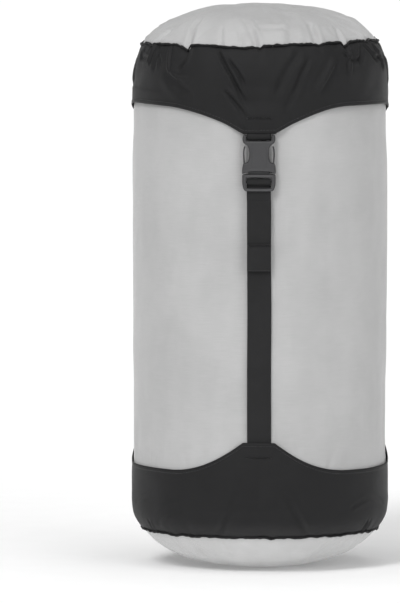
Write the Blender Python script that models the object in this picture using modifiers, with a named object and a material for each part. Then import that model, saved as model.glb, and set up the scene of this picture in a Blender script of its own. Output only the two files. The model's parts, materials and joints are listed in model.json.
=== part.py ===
"""A compression sack for travel, stuffed and let out to its full length.

The bag is a fabric tube with a domed base and a drawcord mouth. A lid fits over the mouth. Three straps,
a third of a turn apart, run from points of the base band through ladder-lock buckles to points of the
lid band. Pulling the strap tails draws the lid down and squashes the bag.

Frame: metres, +Z up along the axis of the bag, origin in the middle of the flat that it stands on, and
-Y towards the front strap. A strap station is modelled at the front, on an empty that turns it into place.
"""

import math

import bmesh
import bpy
from mathutils import Matrix, Vector

# Driving dimensions
HEIGHT = 0.472
RADIUS = 0.1073
DOME_DEPTH = 0.0605
DOME_POWER = 2.25
FLAT_RADIUS = 0.034
CLOTH = 0.0010
GAP = 0.0003
WEB_WIDTH = 0.020
WEB = 0.0010
STATIONS = {"front": 0.0, "right": 120.0, "left": 240.0}

# Shells of cloth, from the outside in
BAND_INNER = RADIUS - CLOTH
BODY_RADIUS = BAND_INNER - GAP
ROUND_STEPS = 36
SEAM_RADIUS = 0.0980
BINDING_RADIUS = 0.0012
BODY_BOTTOM = 0.046
COLLAR_BOTTOM = 0.403
SHOULDER_DROP = 0.0010
MOUTH_RADIUS = 0.071
MOUTH_Z = 0.4540

# Heights of the bands' free edges
BASE_EDGE = 0.0868
BASE_TIP = 0.112
LID_EDGE = 0.3905
LID_TIP = 0.3706
TIP_FLAT_ANGLE = 7.0
TIP_HALF_ANGLE = 44.0
BAND_COLUMNS = 72
BAND_ROWS = 9
ROW_SPREAD = 1.5

# Buckle, measured from its lower edge
BUCKLE_Z = 0.3215
BUCKLE_LENGTH = 0.047
BUCKLE_MIDDLE = 0.1102
SOCKET_THICKNESS = 0.0072
SOCKET_START = 0.0154
FRAME_END = 0.0151
FRAME_BACK = 0.1077
FRAME_FRONT = 0.1133
SLOT_HALF = 0.0104
PRONG_PIVOT = (0.0115, 0.0165)
PRONG_THICKNESS = 0.0038

# Strap
STRAP_BACK = BODY_RADIUS + GAP
STRAP_END = 0.096
TAIL_BACK = 0.1097
TAIL_END = 0.2555
HEM_LENGTH = 0.022
STRAP_TURN_Z = 0.3285
TURN_END = BUCKLE_Z - 0.0010
ROOT_END = BUCKLE_Z - 0.0075

# Cord lock, which stands upright behind the mouth's middle
LOCK_Y = 0.050
LOCK_BOTTOM = MOUTH_Z - 0.0125
LOCK_HEIGHT = 0.016
LOCK_RADIUS = 0.0052
LOCK_WALL = 0.0013
LOCK_FLOOR = 0.0015
BUTTON_RADIUS = 0.0036
BUTTON_BOTTOM = MOUTH_Z - 0.0040
BUTTON_TOP = MOUTH_Z + 0.0080
CORD_RADIUS = 0.0010
CORD_SPACING = 0.0013
CORD_STRAIGHT_END = 0.0605
KNOT_Y = 0.0360


def clear_scene():
    for obj in list(bpy.data.objects):
        bpy.data.objects.remove(obj, do_unlink=True)


def new_collection(name):
    collection = bpy.data.collections.new(name)
    bpy.context.scene.collection.children.link(collection)
    return collection


def material(name, colour, roughness, metallic=0.0):
    made = bpy.data.materials.new(name)
    made.use_nodes = True
    shader = made.node_tree.nodes["Principled BSDF"]
    shader.inputs["Base Color"].default_value = (*colour, 1.0)
    shader.inputs["Roughness"].default_value = roughness
    shader.inputs["Metallic"].default_value = metallic
    return made


def add_object(name, data, finish, parent=None):
    obj = bpy.data.objects.new(name, data)
    PARTS.objects.link(obj)
    obj.data.materials.append(finish)
    obj.parent = parent
    return obj


def mesh_from(build):
    """A mesh that the function build makes in a bmesh."""
    shape = bmesh.new()
    build(shape)
    mesh = bpy.data.meshes.new("shape")
    shape.to_mesh(mesh)
    shape.free()
    return mesh


def shade_round(obj, angle=35.0):
    obj.data.shade_smooth()
    obj.data.set_sharp_from_angle(angle=math.radians(angle))


# Turned shapes


def dome_height(radius, inset=0.0):
    """How far the dome rises above its straight side at this radius. inset moves its surface inwards."""
    share = min(radius / (RADIUS - inset), 1.0)
    return (DOME_DEPTH - inset) * (1.0 - share**DOME_POWER) ** (1.0 / DOME_POWER)


def dome_radius(height, inset=0.0):
    """The radius of the dome at this height above its straight side."""
    share = min(max(height / (DOME_DEPTH - inset), 0.0), 1.0)
    return (RADIUS - inset) * (1.0 - share**DOME_POWER) ** (1.0 / DOME_POWER)


SINK = DOME_DEPTH - dome_height(FLAT_RADIUS)
BASE_STRAIGHT = DOME_DEPTH - SINK
LID_STRAIGHT = HEIGHT - DOME_DEPTH


def turned(name, profile, finish, closed=True, steps=ROUND_STEPS):
    """A profile of (radius, height) points turned about the axis. It runs down its outer side."""

    def build(shape):
        points = [shape.verts.new((r, 0.0, z)) for r, z in profile]
        pairs = list(zip(points, points[1:]))
        if closed:
            pairs.append((points[-1], points[0]))
        for pair in pairs:
            shape.edges.new(pair)

    obj = add_object(name, mesh_from(build), finish)
    screw = obj.modifiers.new("turn", "SCREW")
    screw.steps = steps
    screw.render_steps = steps
    screw.use_merge_vertices = True
    screw.merge_threshold = 0.00005
    screw.use_smooth_shade = True
    return obj


def dome_panel(name, finish, lid):
    """The round end panel: a cap of cloth inside the seam, flat in its middle at the base."""
    rim = SEAM_RADIUS - BINDING_RADIUS - GAP
    first = 0.0 if lid else FLAT_RADIUS
    count = 6
    radii = [first + (rim - first) * math.sin(math.pi / 2 * i / count) for i in range(count + 1)]
    if lid:
        outer = [(r, LID_STRAIGHT + dome_height(r)) for r in radii]
        inner = [(r, LID_STRAIGHT + dome_height(r, CLOTH)) for r in radii]
        return turned(name, outer + inner[::-1], finish, closed=False)
    outer = [(0.0, 0.0)] + [(r, BASE_STRAIGHT - dome_height(r)) for r in radii]
    inner = [(0.0, CLOTH)] + [(r, BASE_STRAIGHT - dome_height(r, CLOTH)) for r in radii]
    return turned(name, inner + outer[::-1], finish, closed=False)


def ring(name, finish, radius, height, minor, sides=8):
    """A cord-like ring that lies level."""
    circle = [
        (
            radius + minor * math.sin(2 * math.pi * i / sides),
            height + minor * math.cos(2 * math.pi * i / sides),
        )
        for i in range(sides)
    ]
    return turned(name, circle, finish)


def bag_body(finish):
    """The tube of cloth, from inside the base seam to the collar."""
    inset_out = RADIUS - BODY_RADIUS
    rounded = [BODY_BOTTOM + (BASE_STRAIGHT - BODY_BOTTOM) * i / 6 for i in range(7)]
    heights = [*rounded, COLLAR_BOTTOM - GAP]

    def side(inset):
        return [(dome_radius(BASE_STRAIGHT - z, inset), z) for z in heights]

    return turned("bag_body", side(inset_out)[::-1] + side(inset_out + CLOTH), finish)


def mouth_collar(finish):
    """The shoulder of the bag under the lid, which narrows to the mouth."""
    base = LID_STRAIGHT - SHOULDER_DROP
    edge = MOUTH_RADIUS + 0.0032
    count = 7

    def side(inset):
        radii = [edge + (RADIUS - inset - edge) * math.sin(math.pi / 2 * i / count) for i in range(count + 1)]
        shoulder = [(r, base + dome_height(r, inset)) for r in radii]
        return [*shoulder, (RADIUS - inset, COLLAR_BOTTOM)]

    outer = RADIUS - BODY_RADIUS
    return turned("mouth_collar", side(outer) + side(outer + CLOTH)[::-1], finish)


def mouth_hem(finish):
    """The folded hem that the drawcord runs in, open along its inner side."""
    outer_radius, inner_radius, opening = 0.0026, 0.0020, math.radians(140)
    count = 6

    def arc(radius):
        angles = [opening * (1 - 2 * i / count) for i in range(count + 1)]
        return [(MOUTH_RADIUS + radius * math.cos(a), MOUTH_Z + radius * math.sin(a)) for a in angles]

    return turned("mouth_hem", arc(outer_radius) + arc(inner_radius)[::-1], finish)


# Bands with three points


def smooth_step(value):
    value = min(max(value, 0.0), 1.0)
    return value * value * (3 - 2 * value)


def station_angle(angle):
    """Degrees from the nearest strap, for an angle in degrees from the front strap."""
    turned_by = angle % 120.0
    return min(turned_by, 120.0 - turned_by)


def point_share(angle):
    """1 at a strap, where the band runs out to a blunt point, and 0 between the straps."""
    share = (TIP_HALF_ANGLE - station_angle(angle)) / (TIP_HALF_ANGLE - TIP_FLAT_ANGLE)
    return min(max(share, 0.0), 1.0) ** 2


def band(name, finish, lid):
    """An end band. Its points stand proud, because the webbing is sewn in under them."""
    seam_depth = DOME_DEPTH - dome_height(SEAM_RADIUS + BINDING_RADIUS + GAP)
    edge, tip = (LID_EDGE, LID_TIP) if lid else (BASE_EDGE, BASE_TIP)
    proud = 0.0032 if lid else 0.0022
    pocket_depth = 0.016

    def depth_of(z):
        return HEIGHT - z if lid else z + SINK

    def place(u, v):
        angle = 360.0 * u
        edge_z = edge + (tip - edge) * point_share(angle)
        depth = seam_depth + (depth_of(edge_z) - seam_depth) * v**ROW_SPREAD
        radius = dome_radius(DOME_DEPTH - depth, CLOTH)
        beside = smooth_step((15.0 - station_angle(angle)) / 5.0)
        above = smooth_step((depth - depth_of(tip) + pocket_depth + 0.010) / 0.010)
        radius += proud * beside * above
        z = HEIGHT - depth if lid else depth - SINK
        around = math.radians(angle - 90.0)
        return Vector((radius * math.cos(around), radius * math.sin(around), z))

    def build(shape):
        bmesh.ops.create_grid(shape, x_segments=BAND_COLUMNS, y_segments=BAND_ROWS, size=0.5)
        for vertex in shape.verts:
            vertex.co = place(vertex.co.x + 0.5, vertex.co.y + 0.5)
        bmesh.ops.remove_doubles(shape, verts=shape.verts, dist=0.00001)
        bmesh.ops.recalc_face_normals(shape, faces=shape.faces)
        if sum(f.normal.dot(f.calc_center_median() * Vector((1, 1, 0))) for f in shape.faces) < 0:
            bmesh.ops.reverse_faces(shape, faces=shape.faces)

    obj = add_object(name, mesh_from(build), finish)
    shell = obj.modifiers.new("cloth", "SOLIDIFY")
    shell.thickness = CLOTH
    shell.offset = 1.0
    shade_round(obj, 60.0)
    return obj


# Straps


def box(name, finish, low, high, parent=None):
    """A box between two corners."""
    centre = (Vector(low) + Vector(high)) / 2
    size = Vector(high) - Vector(low)

    def build(shape):
        bmesh.ops.create_cube(shape, size=1.0, matrix=Matrix.Translation(centre) @ Matrix.Diagonal((*size, 1)))

    return add_object(name, mesh_from(build), finish, parent)


def web_along(name, finish, path, parent):
    """Webbing that follows a path of (distance from the axis, height) points across the front."""

    def build(shape):
        sides = [
            [shape.verts.new((x, -distance, z)) for distance, z in path]
            for x in (-WEB_WIDTH / 2, WEB_WIDTH / 2)
        ]
        for i in range(len(path) - 1):
            shape.faces.new((sides[0][i], sides[1][i], sides[1][i + 1], sides[0][i + 1]))

    obj = add_object(name, mesh_from(build), finish, parent)
    shell = obj.modifiers.new("thickness", "SOLIDIFY")
    shell.thickness = WEB
    shell.offset = 0.0
    shell.use_even_offset = True
    return obj


def round_corner(centre, radius, start, end, count):
    """Points of an arc in the plane of distance and height; angles in degrees from outwards, upwards positive."""
    return [
        (
            centre[0] + radius * math.cos(math.radians(start + (end - start) * i / count)),
            centre[1] + radius * math.sin(math.radians(start + (end - start) * i / count)),
        )
        for i in range(count + 1)
    ]


def strap(station, place):
    """One strap, as its standing part, its turn through the ladder lock, and its tail with a folded end."""
    half = WEB_WIDTH / 2
    middle = STRAP_BACK + WEB / 2
    tail_middle = TAIL_BACK + WEB / 2
    box(
        f"strap_standing_{place}",
        WEBBING,
        (-half, -STRAP_BACK - WEB, STRAP_END),
        (half, -STRAP_BACK, STRAP_TURN_Z),
        station,
    )
    bar_z = BUCKLE_Z + 0.0081
    over = round_corner((0.1098, bar_z + 0.0003), 0.0030, 180.0, 0.0, 6)
    turn = [(middle, STRAP_TURN_Z + GAP), *over, (0.1124, bar_z - 0.0012), (0.1112, bar_z - 0.0030)]
    turn += [(tail_middle, bar_z - 0.0048), (tail_middle, TURN_END)]
    web_along(f"strap_turn_{place}", WEBBING, turn, station)
    fold = TAIL_END + 0.0011
    hem = round_corner((tail_middle + 0.00065, fold), 0.00065, 180.0, 360.0, 4)
    root = [(tail_middle, TURN_END - GAP), (tail_middle, ROOT_END)]
    web_along(f"strap_tail_root_{place}", WEBBING, root, station)
    tail = [(tail_middle, ROOT_END - GAP), *hem, (tail_middle + 0.0013, TAIL_END + HEM_LENGTH)]
    web_along(f"strap_tail_{place}", WEBBING, tail, station)


# Buckles


def outline_mesh(right_side, thickness):
    """A mirrored outline of (x, z) points, given up its right side, as a plate of this thickness."""
    points = right_side + [(-x, z) for x, z in reversed(right_side) if x > 0]
    curve = bpy.data.curves.new("outline", "CURVE")
    curve.dimensions = "2D"
    curve.fill_mode = "BOTH"
    curve.extrude = thickness / 2
    spline = curve.splines.new("POLY")
    spline.points.add(len(points) - 1)
    for point, (x, z) in zip(spline.points, points):
        point.co = (x, z, 0, 1)
    spline.use_cyclic_u = True
    guide = bpy.data.objects.new("outline", curve)
    PARTS.objects.link(guide)
    bpy.context.view_layer.update()
    mesh = bpy.data.meshes.new_from_object(guide.evaluated_get(bpy.context.evaluated_depsgraph_get()))
    bpy.data.objects.remove(guide)
    shape = bmesh.new()
    shape.from_mesh(mesh)
    bmesh.ops.remove_doubles(shape, verts=shape.verts, dist=0.00001)
    bmesh.ops.recalc_face_normals(shape, faces=shape.faces)
    shape.to_mesh(mesh)
    shape.free()
    mesh.materials.clear()
    mesh.transform(Matrix.Rotation(math.radians(90), 4, "X"))
    return mesh


def cut(obj, name, low, high, operation="DIFFERENCE"):
    """Cuts a box from obj, or joins one to it. The corners are in the space of obj."""
    helper = box(name, BUCKLE, low, high)
    PARTS.objects.unlink(helper)
    CUTTERS.objects.link(helper)
    helper.parent = obj
    helper.hide_render = True
    helper.display_type = "WIRE"
    boolean = obj.modifiers.new(name, "BOOLEAN")
    boolean.operation = operation
    boolean.object = helper


def buckle_socket(station, place):
    """The half with the open side windows, looped to the lid."""
    side = [
        (0.0, 0.0168),
        (0.0080, 0.0163),
        (0.0139, SOCKET_START),
        (0.0139, 0.0190),
        (0.0134, 0.0224),
        (0.0108, 0.0230),
        (0.0089, 0.0252),
        (0.0079, 0.0297),
        (0.0081, 0.0345),
        (0.0089, 0.0370),
        (0.0106, 0.0389),
        (0.0124, 0.0398),
        (0.0137, 0.0420),
        (0.0137, 0.0445),
        (0.0129, 0.0466),
        (0.0116, BUCKLE_LENGTH),
    ]
    obj = add_object(f"buckle_socket_{place}", outline_mesh(side, SOCKET_THICKNESS), BUCKLE, station)
    obj.location = (0, -BUCKLE_MIDDLE, BUCKLE_Z)
    cut(obj, f"cut_mouth_{place}", (-0.01285, -0.0022, 0.010), (0.01285, 0.0022, 0.0240))
    cut(obj, f"cut_nose_{place}", (-0.0064, -0.0016, 0.010), (0.0064, 0.0016, 0.0350))
    cut(obj, f"cut_slot_{place}", (-SLOT_HALF, -0.010, 0.0417), (SLOT_HALF, 0.010, 0.0456))
    thin = 0.0012
    cut(obj, f"cut_bar_front_{place}", (-SLOT_HALF, -0.010, 0.0450), (SLOT_HALF, -thin + 0.0019, 0.050))
    cut(obj, f"cut_bar_back_{place}", (-SLOT_HALF, 0.0026, 0.0450), (SLOT_HALF, 0.010, 0.050))
    shade_round(obj)


def buckle_plug(station, place):
    """The half with the ladder lock, whose nose enters the socket."""
    side = [
        (0.0, 0.0),
        (0.0113, 0.0),
        (0.0126, 0.0012),
        (0.0139, 0.0050),
        (0.0139, FRAME_END),
        (0.0, FRAME_END),
    ]
    depth = FRAME_FRONT - FRAME_BACK
    obj = add_object(f"buckle_plug_{place}", outline_mesh(side[1:-1], depth), BUCKLE, station)
    middle = (FRAME_FRONT + FRAME_BACK) / 2
    obj.location = (0, -middle, BUCKLE_Z)

    def y_at(distance):
        return middle - distance

    cut(obj, f"cut_ladder_{place}", (-SLOT_HALF, -0.01, 0.0024), (SLOT_HALF, 0.01, 0.0129))
    cut(obj, f"cut_tail_way_{place}", (-SLOT_HALF, y_at(0.1110), -0.005), (SLOT_HALF, 0.01, 0.0030))
    bar = (SLOT_HALF + 0.001, y_at(0.1112), 0.0066)
    cut(obj, f"join_bar_{place}", (-bar[0], bar[1], bar[2]), (bar[0], y_at(0.1090), 0.0096), "UNION")
    nose = BUCKLE_MIDDLE
    cut(
        obj,
        f"join_nose_{place}",
        (-0.0090, y_at(nose + 0.0019), FRAME_END - 0.001),
        (0.0090, y_at(nose - 0.0019), 0.0205),
        "UNION",
    )
    cut(
        obj,
        f"join_tongue_{place}",
        (-0.0058, y_at(nose + 0.0013), 0.0195),
        (0.0058, y_at(nose - 0.0013), 0.0330),
        "UNION",
    )
    shade_round(obj)


def release_prong(station, place, side):
    """A springy arm of the plug, whose origin is on the line that it bends about."""
    sign = 1 if side == "right" else -1
    pivot_x, pivot_z = PRONG_PIVOT
    outline = [
        (0.0093, 0.0154),
        (0.0126, 0.0154),
        (0.0126, 0.0350),
        (0.0122, 0.0366),
        (0.0115, 0.0370),
        (0.0113, 0.0364),
        (0.0113, 0.0230),
        (0.0109, 0.0198),
        (0.0093, 0.0185),
    ]

    def build(shape):
        corners = [
            shape.verts.new((sign * (x - pivot_x), -PRONG_THICKNESS / 2, z - pivot_z)) for x, z in outline
        ]
        face = shape.faces.new(corners)
        grown = bmesh.ops.extrude_face_region(shape, geom=[face])
        moved = [v for v in grown["geom"] if isinstance(v, bmesh.types.BMVert)]
        bmesh.ops.translate(shape, verts=moved, vec=(0, PRONG_THICKNESS, 0))
        bmesh.ops.recalc_face_normals(shape, faces=shape.faces)

    obj = add_object(f"release_prong_{place}_{side}", mesh_from(build), BUCKLE, station)
    obj.location = (sign * pivot_x, -BUCKLE_MIDDLE, BUCKLE_Z + pivot_z)


def buckle_loop(station, place):
    """Webbing folded round the socket's top bar, with both legs sewn in under the lid's point."""
    half = WEB / 2
    back = STRAP_BACK + half
    front = 0.1104
    slot_z = BUCKLE_Z + 0.0456 - GAP - half
    top = LID_TIP + 0.0125
    leg = back + WEB + 0.0002
    path = [(back, top), (back, slot_z + 0.0005), (back + 0.0005, slot_z)]
    path += [(front - 0.0005, slot_z), (front, slot_z + 0.0005), (front, BUCKLE_Z + 0.0476)]
    path += [(leg, BUCKLE_Z + 0.0486), (leg, top)]
    web_along(f"buckle_loop_{place}", WEBBING, path, station)


# Drawcord and cord lock


def tube(name, finish, points, radius):
    curve = bpy.data.curves.new(name, "CURVE")
    curve.dimensions = "3D"
    curve.bevel_depth = radius
    curve.bevel_resolution = 2
    curve.use_fill_caps = True
    spline = curve.splines.new("POLY")
    spline.points.add(len(points) - 1)
    for point, place in zip(spline.points, points):
        point.co = (*place, 1)
    return add_object(name, curve, finish)


def drawcord(finish):
    """Round the mouth in its hem, with both ends out through the cord lock to a knot."""
    gap_angle = 5.0
    around = [90 + gap_angle + (360 - 2 * gap_angle) * i / 44 for i in range(45)]
    circle = [
        (MOUTH_RADIUS * math.cos(math.radians(a)), MOUTH_RADIUS * math.sin(math.radians(a)), MOUTH_Z)
        for a in around
    ]

    def end(sign):
        return [
            (sign * CORD_SPACING, KNOT_Y, MOUTH_Z),
            (sign * CORD_SPACING, CORD_STRAIGHT_END, MOUTH_Z),
            (sign * 0.0022, MOUTH_RADIUS - 0.0045, MOUTH_Z),
            (sign * 0.0040, MOUTH_RADIUS - 0.0008, MOUTH_Z),
        ]

    tube("drawcord", finish, end(-1) + circle + end(1)[::-1], CORD_RADIUS)

    def build(shape):
        squash = Matrix.Diagonal((1.25, 0.9, 1.0, 1.0))
        place = Matrix.Translation((0, KNOT_Y - GAP - 0.0025 * 0.9, MOUTH_Z))
        bmesh.ops.create_uvsphere(shape, u_segments=12, v_segments=8, radius=0.0025, matrix=place @ squash)

    shade_round(add_object("drawcord_knot", mesh_from(build), finish))


def turned_upright(name, finish, profile):
    """A small turned piece that stands on the cord lock's axis."""
    obj = turned(name, profile, finish, closed=False, steps=20)
    obj.location = (0, LOCK_Y, 0)
    return obj


def cord_lock():
    top = LOCK_BOTTOM + LOCK_HEIGHT
    bore = LOCK_RADIUS - LOCK_WALL
    floor = LOCK_BOTTOM + LOCK_FLOOR
    body = turned_upright(
        "cord_lock_body",
        BUCKLE,
        [
            (0, floor),
            (bore, floor),
            (bore, top),
            (LOCK_RADIUS - 0.0005, top),
            (LOCK_RADIUS, top - 0.0008),
            (LOCK_RADIUS, LOCK_BOTTOM + 0.0015),
            (LOCK_RADIUS - 0.0015, LOCK_BOTTOM),
            (0, LOCK_BOTTOM),
        ],
    )
    button = turned_upright(
        "cord_lock_button",
        BUCKLE,
        [
            (0, BUTTON_TOP),
            (BUTTON_RADIUS - 0.0010, BUTTON_TOP),
            (BUTTON_RADIUS, BUTTON_TOP - 0.0008),
            (BUTTON_RADIUS, BUTTON_BOTTOM),
            (0, BUTTON_BOTTOM),
        ],
    )
    wide = CORD_SPACING + CORD_RADIUS + GAP
    low, high = MOUTH_Z - CORD_RADIUS - GAP, MOUTH_Z + CORD_RADIUS + 0.0005
    cut(body, "cut_lock_body_hole", (-wide, -0.02, low - 0.0005), (wide, 0.02, high + 0.0005))
    cut(button, "cut_lock_button_hole", (-wide, -0.02, low), (wide, 0.02, high + 0.0030))
    turns, per_turn = 3, 12
    coil_radius, wire = 0.0025, 0.0003
    low_end = floor + wire + GAP
    high_end = BUTTON_BOTTOM - wire - GAP
    coil = [
        (
            coil_radius * math.cos(2 * math.pi * i / per_turn),
            LOCK_Y + coil_radius * math.sin(2 * math.pi * i / per_turn),
            low_end + (high_end - low_end) * i / (turns * per_turn),
        )
        for i in range(turns * per_turn + 1)
    ]
    tube("cord_lock_spring", STEEL, coil, wire)


def main():
    dome_panel("base_panel", PALE_CLOTH, lid=False)
    band("base_band", DARK_CLOTH, lid=False)
    seam_height = dome_height(SEAM_RADIUS)
    ring("base_binding", DARK_CLOTH, SEAM_RADIUS, BASE_STRAIGHT - seam_height, BINDING_RADIUS)
    bag_body(PALE_CLOTH)
    mouth_collar(PALE_CLOTH)
    mouth_hem(DARK_CLOTH)
    drawcord(CORD)
    cord_lock()
    dome_panel("lid_panel", PALE_CLOTH, lid=True)
    band("lid_band", DARK_CLOTH, lid=True)
    ring("lid_binding", DARK_CLOTH, SEAM_RADIUS, LID_STRAIGHT + seam_height, BINDING_RADIUS)
    for place, degrees in STATIONS.items():
        station = bpy.data.objects.new(f"station_{place}", None)
        PARTS.objects.link(station)
        station.rotation_euler.z = math.radians(degrees)
        strap(station, place)
        buckle_socket(station, place)
        buckle_plug(station, place)
        release_prong(station, place, "left")
        release_prong(station, place, "right")
        buckle_loop(station, place)


clear_scene()
PARTS = new_collection("compression_sack")
CUTTERS = new_collection("cutters")
PALE_CLOTH = material("pale_cloth", (0.56, 0.56, 0.56), 0.55)
DARK_CLOTH = material("dark_cloth", (0.030, 0.030, 0.031), 0.60)
WEBBING = material("webbing", (0.026, 0.026, 0.027), 0.70)
BUCKLE = material("buckle", (0.095, 0.095, 0.097), 0.45)
CORD = material("cord", (0.020, 0.020, 0.021), 0.65)
STEEL = material("steel", (0.55, 0.55, 0.56), 0.35, 1.0)
main()
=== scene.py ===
"""The looks of a compression sack: nylon cloth, webbing, stitching and moulded buckles, on the CAD frame.

Metres, +Z up along the bag's axis, the front strap towards -Y. Angles are in degrees from the front strap,
growing towards +X. A strap station is built at the front and then turned to its place.
"""

import json
from math import cos, pi, radians, sin, sqrt

import bmesh
import bpy
import numpy as np
from mathutils import Matrix, Vector


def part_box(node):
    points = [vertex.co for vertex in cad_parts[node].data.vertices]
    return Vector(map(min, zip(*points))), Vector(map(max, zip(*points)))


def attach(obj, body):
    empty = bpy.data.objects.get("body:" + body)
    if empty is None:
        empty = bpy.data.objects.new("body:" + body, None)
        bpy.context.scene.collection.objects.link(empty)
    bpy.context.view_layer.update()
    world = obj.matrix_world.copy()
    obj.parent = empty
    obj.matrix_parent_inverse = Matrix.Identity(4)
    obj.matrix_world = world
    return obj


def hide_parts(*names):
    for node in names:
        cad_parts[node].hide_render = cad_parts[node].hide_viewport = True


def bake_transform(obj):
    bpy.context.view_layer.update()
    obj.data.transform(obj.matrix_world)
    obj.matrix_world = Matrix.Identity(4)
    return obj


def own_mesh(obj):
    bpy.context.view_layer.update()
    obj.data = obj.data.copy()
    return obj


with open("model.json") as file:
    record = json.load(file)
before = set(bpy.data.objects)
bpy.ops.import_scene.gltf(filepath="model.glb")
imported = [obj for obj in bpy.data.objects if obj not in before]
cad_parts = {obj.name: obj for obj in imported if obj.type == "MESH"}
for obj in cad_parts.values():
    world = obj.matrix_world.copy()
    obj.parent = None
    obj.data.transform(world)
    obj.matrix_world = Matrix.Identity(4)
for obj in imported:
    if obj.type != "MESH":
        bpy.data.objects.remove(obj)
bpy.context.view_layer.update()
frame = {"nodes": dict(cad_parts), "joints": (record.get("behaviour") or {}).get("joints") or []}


# Sizes read from the frame


def heights(node):
    return tuple(corner.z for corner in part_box(node))


def distances(node):
    """How far the back and the front of a node at the front strap are from the axis."""
    low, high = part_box(node)
    return -high.y, -low.y


def travel(joint):
    return -next(j for j in frame["joints"] if j["name"] == joint)["range_m"][0]


TOP = heights("lid_panel")[1]
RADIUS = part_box("lid_band")[1].x
BODY_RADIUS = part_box("bag_body")[1].x
BODY_BOTTOM, BODY_TOP = heights("bag_body")
TIP = {"lid": heights("lid_band")[0] - 0.0014, "base": heights("base_band")[1]}
LID_SEAM, BASE_SEAM = (sum(heights(node)) / 2 for node in ("lid_binding", "base_binding"))
BUCKLE_BOTTOM = heights("buckle_plug_front")[0]
SOCKET_BACK, SOCKET_FRONT = distances("buckle_socket_front")
SOCKET_MIDDLE = (SOCKET_BACK + SOCKET_FRONT) / 2
FRAME_BACK, FRAME_FRONT = distances("buckle_plug_front")
PRONG_BACK, PRONG_FRONT = distances("release_prong_front_right")
WEB_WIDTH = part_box("strap_standing_front")[1].x * 2
STRAP_BACK = distances("strap_standing_front")[0]
STRAP_MIDDLE = sum(distances("strap_standing_front")) / 2
STRAP_BOTTOM, STRAP_TOP = heights("strap_standing_front")
TAIL_MIDDLE = sum(distances("strap_tail_root_front")) / 2
ROOT_BOTTOM, ROOT_TOP = heights("strap_tail_root_front")
TAIL_BOTTOM = heights("strap_tail_front")[0]
TAIL_HEM = TAIL_BOTTOM + 0.0221
LOOP_TOP = heights("buckle_loop_front")[1]
TRAVEL = travel("compress")
STATIONS = {"front": 0.0, "right": 120.0, "left": 240.0}

# Shape of the stuffed bag, as in the CAD
DOME_DEPTH = 0.0605
DOME_POWER = 2.25
DOME_STEPS = 600
FLAT_RADIUS = 0.034
EDGE = {"lid": 0.3905, "base": 0.0868}
TIP_FLAT_ANGLE = 7.0
TIP_HALF_ANGLE = 44.0
CLOTH = 0.0005
HEM = 0.0030
WEB = 0.0012
SEAM_GAP = 0.0002
BARTACK_INSET = 0.0128
SHARP_ANGLE = radians(40)

# Strength of the folds, and how many swells an end panel has
BAND_FOLDING = 2.1
DOME_FOLDING = 1.55
UNDULATIONS = 9


# Points on the bag


def build_meridian():
    """Arc length from the apex, with radius and depth below the apex, down a dome and the straight side."""
    turn = np.linspace(0, pi / 2, DOME_STEPS)
    radius = RADIUS * np.sin(turn) ** (2 / DOME_POWER)
    depth = DOME_DEPTH * (1 - np.cos(turn) ** (2 / DOME_POWER))
    side = np.linspace(0, TOP, 200)[1:]
    radius = np.append(radius, np.full(len(side), RADIUS))
    depth = np.append(depth, DOME_DEPTH + side)
    arc = np.append(0, np.cumsum(np.hypot(np.diff(radius), np.diff(depth))))
    return arc, radius, depth


ARC, ARC_RADIUS, ARC_DEPTH = build_meridian()
SINK = float(np.interp(FLAT_RADIUS, ARC_RADIUS[:DOME_STEPS], ARC_DEPTH[:DOME_STEPS]))


def arc_at_height(height, end):
    return np.interp(TOP - height if end == "lid" else height + SINK, ARC_DEPTH, ARC)


def round_axis(radius, angle, height):
    around = np.radians(angle)
    return np.stack([radius * np.sin(around), -radius * np.cos(around), height], axis=-1)


def surface(angle, arc, offset, end):
    """World points at this angle and arc length from the lid's apex or the base's, raised by offset."""
    step = 0.0004
    radius, depth = np.interp(arc, ARC, ARC_RADIUS), np.interp(arc, ARC, ARC_DEPTH)
    run = np.interp(arc + step, ARC, ARC_RADIUS) - np.interp(arc - step, ARC, ARC_RADIUS)
    drop = np.interp(arc + step, ARC, ARC_DEPTH) - np.interp(arc - step, ARC, ARC_DEPTH)
    slope = np.maximum(np.hypot(run, drop), 1e-9)
    radius = radius + offset * drop / slope
    depth = depth - offset * run / slope
    return round_axis(radius, angle, TOP - depth if end == "lid" else np.maximum(depth - SINK, 0.0))


def away_from(angle, place):
    """Degrees from a place, signed."""
    return (angle - place + 180.0) % 360.0 - 180.0


def from_strap(angle):
    """Degrees from the nearest strap station, signed."""
    return (angle + 60.0) % 120.0 - 60.0


def edge_line(angle, end):
    """Height of a band's free edge, which runs out to a point at each strap."""
    share = (TIP_HALF_ANGLE - np.abs(from_strap(angle))) / (TIP_HALF_ANGLE - TIP_FLAT_ANGLE)
    return EDGE[end] + (TIP[end] - EDGE[end]) * np.clip(share, 0, 1) ** 2


def ease(value):
    value = np.clip(value, 0.0, 1.0)
    return value * value * (3 - 2 * value)


def hump(distance, width):
    return np.exp(-((distance / width) ** 2))


def held(height, room):
    """height, with its hollows kept to the room there is under them."""
    return np.where(height < 0, room * np.tanh(height / room), height)


# Folds and wrinkles, as heights over the smooth surface


def ripples(angle, along, seed, size, low, high, stretch=1.0):
    """Soft random waves round the bag. low and high are how many waves go round it."""
    random = np.random.default_rng(seed)
    total = np.zeros_like(angle * along)
    count = 26
    for _ in range(count):
        number = random.integers(low, high + 1)
        rate = random.normal(0, number / RADIUS / stretch)
        phase = random.uniform(0, 2 * pi)
        total += np.cos(np.radians(angle) * number + along * rate + phase)
    return size * total / sqrt(count / 2)


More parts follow.
